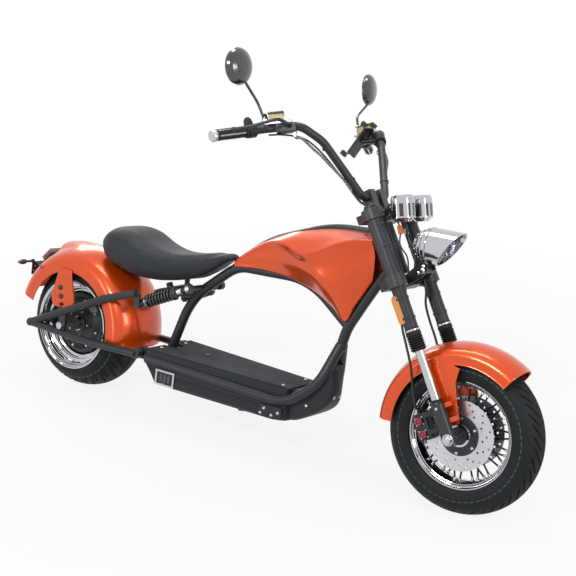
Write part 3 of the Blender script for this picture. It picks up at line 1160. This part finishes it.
# Blank chrome-framed cover on the deck's side, screws, key lock on the deck
SIDE = axes((491, -deck_half(491) - 0.4, 158), (1, 36 / 568, 0), (0, 0, 1), (36 / 568, -1, 0))
p = Piece("side_cover", "chassis", PARK, "chrome")
outer_r, inner_r = [(-40, -27), (40, -27), (40, 27), (-40, 27)], [(-33, -20.5), (33, -20.5), (33, 20.5),
                                                                  (-33, 20.5)]
v = [(a, b, z) for z in (0, 4) for a, b in outer_r] + [(a, b, z) for z in (0, 4) for a, b in inner_r]
f = []
for i in range(4):
    j = (i + 1) % 4
    f += [(i, j, 4 + j, 4 + i), (4 + i, 4 + j, 12 + j, 12 + i), (12 + i, 12 + j, 8 + j, 8 + i),
          (8 + i, 8 + j, j, i)]
p.add((v, f), CHROME, SIDE)
p.add(block((-32.9, -20.4, 0), (32.9, 20.4, 1.6)), PLAST, SIDE)
for a in (-16, 0, 16):
    p.add(block((a - 5, -14, 1.4), (a + 5, 14, 2.8)), SHELL, SIDE)
for a in (-36.5, 36.5):
    for b in (-23.5, 23.5):
        p.add(capscrew(1.9, 1.2), STEEL, SIDE @ move(a, b, 4))
p.done(sharp=34, bevel=0.8, segs=2, angle=50)
p = Piece("deck_lock", "chassis", PARK, "chrome")
p.add(lathe([(0, 243), (12, 243), (12, 245.5), (10, 247.4), (6.4, 247.4), (6.4, 246.2), (0, 246.2)], 40,
            loop=False), SATIN, move(568, 0, 0))
p.add(block((-1, -4, 246), (1, 4, 246.8)), STEEL, move(568, 0, 0))
for x in (412, 940):
    for y in (-66, 66):
        p.add(lathe([(0, 243), (6, 243), (5.4, 245), (3, 245), (3, 244.2), (0, 244.2)], 20, loop=False),
              STEEL, move(x, y, 0))
p.done(sharp=34)

# Front fairing, rounded in both directions
p = Piece("nose_fairing", "chassis", PARK, "deck_plastic", ("front_fairing",))
side = [(978.3, 131), (1004, 139), (1052, 166), (1085, 193), (1102, 220), (1111, 250), (1113, 282),
        (1111, 312), (1104, 338),
        (1092, 342), (1078, 336), (1064, 306), (1046, 272), (1010, 246), (978.3, 238)]
fine = smooth_rows(side, 4)
cx, cz = 1040, 228
rows = []
for t in np.linspace(-1, 1, 25):
    ring = []
    a = abs(t)
    shrink = 1 - 0.10 * max(0, (a - 0.72) / 0.28) ** 2
    for x, z in fine:
        x2 = cx + (x - cx) * (shrink if x > cx - 40 else 1)
        z2 = cz + (z - cz) * shrink
        lim = 67 if x2 < 1046 else 67 * math.sqrt(max(0.0, 1 - ((x2 - 1046) / 67.3) ** 2))
        lim = min(lim, float(np.interp(z2, [100, 250, 276, 345], [66, 66, 60, 36])))
        ring.append((x2, t * lim, z2))
    rows.append(ring)
p.add(loft(rows), DECK)
p.done(sharp=40, merge=0.3)
p = Piece("fairing_screws", "chassis", PARK, "steel")
for x, y, z, d in ((1106, 16, 236, (1, 0.2, -0.2)), (1106, -16, 236, (1, -0.2, -0.2)),
                   (1040, -66, 200, (0, -1, 0)), (1040, 66, 200, (0, 1, 0))):
    p.add(capscrew(5, 4), STEEL, aim((x, y, z), d))
p.done(sharp=34)

# Rear shock springs as true coils, with collars
shock_low, shock_high = Vector((344, 120, 392)), Vector((520, 86, 478))
sd = (shock_high - shock_low).normalized()
p = Piece("shock_coils", "chassis", PARK, "spring_black", ("shock_springs",))
SH = aim(shock_low, sd)
coil = []
for k in range(0, 8 * 28 + 1):
    a = k / 28 * 360
    ease = 36 + 98 * k / (8 * 28)
    coil.append((20.1 * cosd(a), 20.1 * sind(a), ease))
p.pair(tube(coil, 3.1, 10), SPRING, SH)
p.done(sharp=50)
p = Piece("shock_trim", "chassis", PARK, "steel")
p.pair(lathe([(16.6, 24), (22, 24), (22, 27.6), (16.6, 27.6)], 12), CHROME_D, SH)
p.pair(lathe([(16.6, 142.2), (21, 142.2), (19, 148), (10.2, 150)], 36), SATIN, SH)
p.pair(lathe([(10.05, 150), (10.9, 151), (10.9, 168), (10.05, 169)], 36), CHROME, SH)
for q in (shock_low, shock_high):
    p.pair(hexhead(8.2, 5), STEEL, Matrix.Translation(q) @ outward(0, 11.4, 0))
p.done(sharp=34)


# Seat: an upholstered cushion, blown up a little by cloth, then seams and piping
seat_rows = [(78, 566, 554, 0.4 * 128, 538), (98, 604, 570, 0.7 * 128, 522),
             (150, 632, 586, 0.93 * 128, 500),
             (225, 626, 582, 0.98 * 128, 481), (310, 596, 562, 0.92 * 128, 475), (400, 582, 552, 98, 485),
             (490, 590, 562, 74, 508), (570, 608, 586, 54, 552), (620, 623, 608, 40, 590),
             (648, 616, 610, 22, 602)]
inset = 4.0
rings = []
for x, zt, ze, w, zb in smooth_rows(seat_rows, 5):
    zt, w, zb = zt - inset, w - inset, min(zb + 1.0, zt - 6)
    half = [(0.36 * w, zt), (0.62 * w, 0.88 * zt + 0.12 * ze), (0.84 * w, 0.6 * zt + 0.4 * ze),
            (0.97 * w, 0.25 * zt + 0.75 * ze),
            (w, ze - 4), (0.96 * w, 0.5 * (ze + zb)), (0.86 * w, 0.15 * ze + 0.85 * zb), (0.7 * w, zb)]
    xx = 363 + (x - 363) * (1 - inset / 290)
    ring = [(xx, 0, zt + 0.6)] + [(xx, y, z) for y, z in half] + [(xx, 0, zb)] + [(xx, -y, z) for y,
                                                                                  z in half[::-1]]
    rings.append(smooth(ring, 3, True))
p = Piece("seat_cushion", "chassis", PARK, "seat_leather", ("seat",))
p.add(loft(rings), HIDE)
seat = p.done(sharp=80)


def applied(ob):
    """The object's mesh with its modifiers applied"""
    dg = bpy.context.evaluated_depsgraph_get()
    me = bpy.data.meshes.new_from_object(ob.evaluated_get(dg))
    old = ob.data
    ob.modifiers.clear()
    ob.data = me
    bpy.data.meshes.remove(old)
    return me


def inflate(ob, voxel, cap, pressure=4.0, frames=20):
    """Voxel remesh, a short pressure run, each point's move capped, all applied"""
    r = ob.modifiers.new("remesh", "REMESH")
    r.mode, r.voxel_size = "VOXEL", voxel
    applied(ob)
    me = ob.data
    co = np.zeros(len(me.vertices) * 3)
    me.vertices.foreach_get("co", co)
    start = co.reshape(-1, 3)
    cl = ob.modifiers.new("cloth", "CLOTH")
    st = cl.settings
    st.quality, st.mass = 6, 0.3
    st.tension_stiffness = st.compression_stiffness = 15
    st.shear_stiffness, st.bending_stiffness = 8, 2.0
    st.use_pressure, st.uniform_pressure_force = True, pressure
    st.effector_weights.gravity = 0
    cl.collision_settings.use_collision = False
    sc = bpy.context.scene
    for fr in range(1, frames + 1):
        sc.frame_set(fr)
    dg = bpy.context.evaluated_depsgraph_get()
    ev = ob.evaluated_get(dg).to_mesh()
    end = np.zeros(len(ev.vertices) * 3)
    ev.vertices.foreach_get("co", end)
    end = end.reshape(-1, 3)
    ob.evaluated_get(dg).to_mesh_clear()
    d = end - start
    ln = np.linalg.norm(d, axis=1, keepdims=True)
    d *= np.minimum(1, cap / np.maximum(ln, 1e-9))
    ob.modifiers.clear()
    me.vertices.foreach_set("co", (start + d).ravel())
    sc.frame_set(1)
    me.update()


cloth_voxel, cloth_cap = 0.006, 0.005
inflate(seat, cloth_voxel, cloth_cap)
seat.data.materials.clear()
seat.data.materials.append(HIDE)
sm = seat.modifiers.new("relax", "SMOOTH")
sm.factor, sm.iterations = 0.5, 3
ss = seat.modifiers.new("fine", "SUBSURF")
ss.levels = ss.render_levels = 1
applied(seat)


def nearest_line(pts, lift=0.0):
    """Points brought onto the seat's skin, along straight pieces in bike space"""
    me = seat.data
    tree = BVHTree.FromPolygons([v.co.copy() for v in me.vertices],
                                [tuple(q.vertices) for q in me.polygons])
    out = []
    for q in pts:
        loc, nor = tree.find_nearest(PARK @ Vector(q))[:2]
        out.append(loc + nor * lift)
    return out


def welt(sgn):
    """The seam along one side of the seat"""
    return [(x, sgn * w * 0.985, ze * 0.8 + zt * 0.2)
            for x, zt, ze, w, zb in smooth_rows(seat_rows, 6) if 120 < x < 640]


rear_panel = [(96, 62, 590), (112, 92, 584), (134, 112, 566), (160, 122, 540), (190, 118, 510),
              (215, 104, 486)]
lines = []
for sgn in (-1, 1):
    lines.append(smooth(welt(sgn), 2))
    lines.append(smooth([(x, sgn * y, z) for x, y, z in rear_panel], 6))
lines.append(smooth([(100, y, 602 - abs(y) * 0.12) for y in range(-62, 63, 12)], 3))

# Seams pressed in along the lines, ripples above the seat's lower edge
seam_depth, seam_width = 0.0022, 0.0042
ripple_depth, ripple_z, ripple_width = 0.0006, 515, 22
me = seat.data
co = np.zeros(len(me.vertices) * 3)
me.vertices.foreach_get("co", co)
co = co.reshape(-1, 3)
nor = np.zeros_like(co).ravel()
me.vertices.foreach_get("normal", nor)
nor = nor.reshape(-1, 3)
skin_lines = [nearest_line(l) for l in lines]
dip = np.zeros(len(co))
for l in skin_lines:
    a = np.array(l)
    for i in range(len(a) - 1):
        ab = a[i + 1] - a[i]
        t = np.clip(((co - a[i]) @ ab) / max(ab @ ab, 1e-12), 0, 1)
        d = np.linalg.norm(co - (a[i] + t[:, None] * ab), axis=1)
        dip = np.maximum(dip, seam_depth * np.exp(-(d / seam_width) ** 2))
to_bike = PARK.inverted()
loc = co @ np.array(to_bike.to_3x3()).T + np.array(to_bike.translation)
ripple = (ripple_depth * np.sin(loc[:, 0] / 21 + 1.3 * np.sin(loc[:, 1] / 46))
          * np.exp(-((loc[:, 2] - ripple_z) / ripple_width) ** 2))
co = co - nor * (dip + ripple)[:, None]
me.vertices.foreach_set("co", co.ravel())
me.update()
me.polygons.foreach_set("use_smooth", [True] * len(me.polygons))

p = Piece("seat_piping", "chassis", UPRIGHT, "seat_leather")
for l in lines:
    pts = nearest_line(l, 0.0002)
    p.add(tube(pts, 0.0016, 8), PIPING)
p.done(sharp=60, merge=0.001)
p = Piece("seat_stitches", "chassis", UPRIGHT, "seat_leather")
stitch_pitch = 0.0072
for l in lines[:1] + lines[2:3]:
    pts = nearest_line([(x, y, z + 6.5) for x, y, z in l], 0.0003)
    acc = 0.0
    for a, b in zip(pts, pts[1:]):
        ln = (b - a).length
        while acc < ln:
            q = a + (b - a) * (acc / ln)
            d = (b - a).normalized()
            ends = [q + d * t for t in (-0.0021, -0.001, 0.001, 0.0021)]
            p.add(tube(ends, [0.0002, 0.0005, 0.0005, 0.0002], 5), THREAD)
            acc += stitch_pitch
        acc -= ln
p.done(sharp=60, merge=0.00001)
